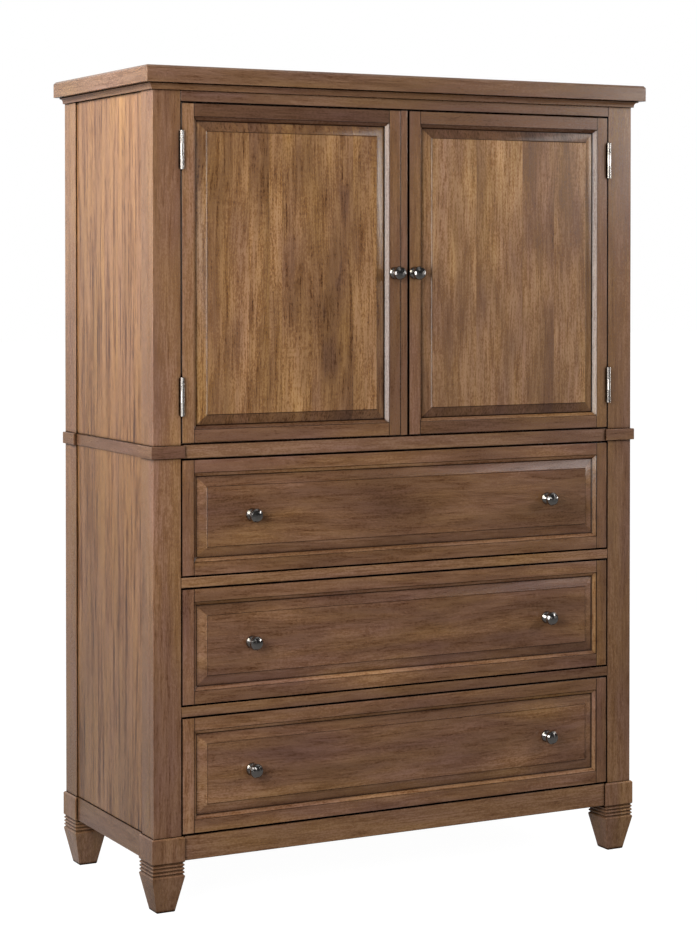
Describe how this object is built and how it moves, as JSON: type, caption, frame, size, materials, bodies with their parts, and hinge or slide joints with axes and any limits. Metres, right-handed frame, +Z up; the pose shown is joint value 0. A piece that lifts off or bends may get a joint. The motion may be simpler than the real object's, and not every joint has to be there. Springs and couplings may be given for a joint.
{
  "type": "door chest",
  "caption": "Tall wooden chest with framed doors over sliding drawers, a moulded top and tapered, reeded legs; stores clothes and linen.",
  "frame": {"origin": "on the floor, at the middle of the whole chest's footprint, knobs included", "axes": "+Z up, the doors and drawers face -Y, +X to the right as seen from the front"},
  "size_m": [1.0754, 0.47, 1.524],
  "materials": {
    "stained_wood": "mid-brown stain under satin lacquer, straight grain with warm streaks and a few pin knots",
    "drawer_wood": "clear-sealed light hardwood, matt",
    "dark_nickel": "polished dark nickel plate",
    "polished_nickel": "polished nickel plate"
  },
  "bodies": {
    "case": {"top_slab": "stained_wood", "cornice_moulding": "stained_wood", "side_panel_left": "stained_wood", "side_panel_right": "stained_wood", "front_post_left": "stained_wood", "front_post_right": "stained_wood", "back_post_left": "stained_wood", "back_post_right": "stained_wood", "top_rail": "stained_wood", "waist_rail": "stained_wood", "front_apron": "stained_wood", "side_apron_left": "stained_wood", "side_apron_right": "stained_wood", "waist_band_left": "stained_wood", "waist_band_right": "stained_wood", "leg_front_left": "stained_wood", "leg_front_right": "stained_wood", "leg_back_left": "stained_wood", "leg_back_right": "stained_wood", "dust_panel_lower": "stained_wood", "dust_panel_middle": "stained_wood", "dust_panel_upper": "stained_wood", "cabinet_floor": "stained_wood", "shelf": "stained_wood", "back_panel": "stained_wood", "door_left_hinge_upper_case_leaf": "polished_nickel", "door_left_hinge_lower_case_leaf": "polished_nickel", "door_right_hinge_upper_case_leaf": "polished_nickel", "door_right_hinge_lower_case_leaf": "polished_nickel"},
    "door_left": {"door_left_stile_outer": "stained_wood", "door_left_stile_inner": "stained_wood", "door_left_rail_top": "stained_wood", "door_left_rail_bottom": "stained_wood", "door_left_panel": "stained_wood", "door_left_knob": "dark_nickel", "door_left_hinge_upper_door_leaf": "polished_nickel", "door_left_hinge_lower_door_leaf": "polished_nickel"},
    "door_right": {"door_right_stile_outer": "stained_wood", "door_right_stile_inner": "stained_wood", "door_right_rail_top": "stained_wood", "door_right_rail_bottom": "stained_wood", "door_right_panel": "stained_wood", "door_right_knob": "dark_nickel", "door_right_hinge_upper_door_leaf": "polished_nickel", "door_right_hinge_lower_door_leaf": "polished_nickel"},
    "drawer_upper": {"drawer_upper_front": "stained_wood", "drawer_upper_walls": "drawer_wood", "drawer_upper_base": "drawer_wood", "drawer_upper_knob_left": "dark_nickel", "drawer_upper_knob_right": "dark_nickel"},
    "drawer_middle": {"drawer_middle_front": "stained_wood", "drawer_middle_walls": "drawer_wood", "drawer_middle_base": "drawer_wood", "drawer_middle_knob_left": "dark_nickel", "drawer_middle_knob_right": "dark_nickel"},
    "drawer_lower": {"drawer_lower_front": "stained_wood", "drawer_lower_walls": "drawer_wood", "drawer_lower_base": "drawer_wood", "drawer_lower_knob_left": "dark_nickel", "drawer_lower_knob_right": "dark_nickel"}
  },
  "joints": [
    {"name": "door_left_hinge", "type": "hinge", "parent": "case", "child": "door_left", "pos_m": [-0.4603, -0.2123, 1.15325], "axis": [0, 0, -1], "range_deg": [0, 165]},
    {"name": "door_right_hinge", "type": "hinge", "parent": "case", "child": "door_right", "pos_m": [0.4603, -0.2123, 1.15325], "axis": [0, 0, 1], "range_deg": [0, 165]},
    {"name": "drawer_upper_slide", "type": "slide", "parent": "case", "child": "drawer_upper", "axis": [0, -1, 0], "range_m": [0, 0.3]},
    {"name": "drawer_middle_slide", "type": "slide", "parent": "case", "child": "drawer_middle", "axis": [0, -1, 0], "range_m": [0, 0.3]},
    {"name": "drawer_lower_slide", "type": "slide", "parent": "case", "child": "drawer_lower", "axis": [0, -1, 0], "range_m": [0, 0.3]}
  ]
}
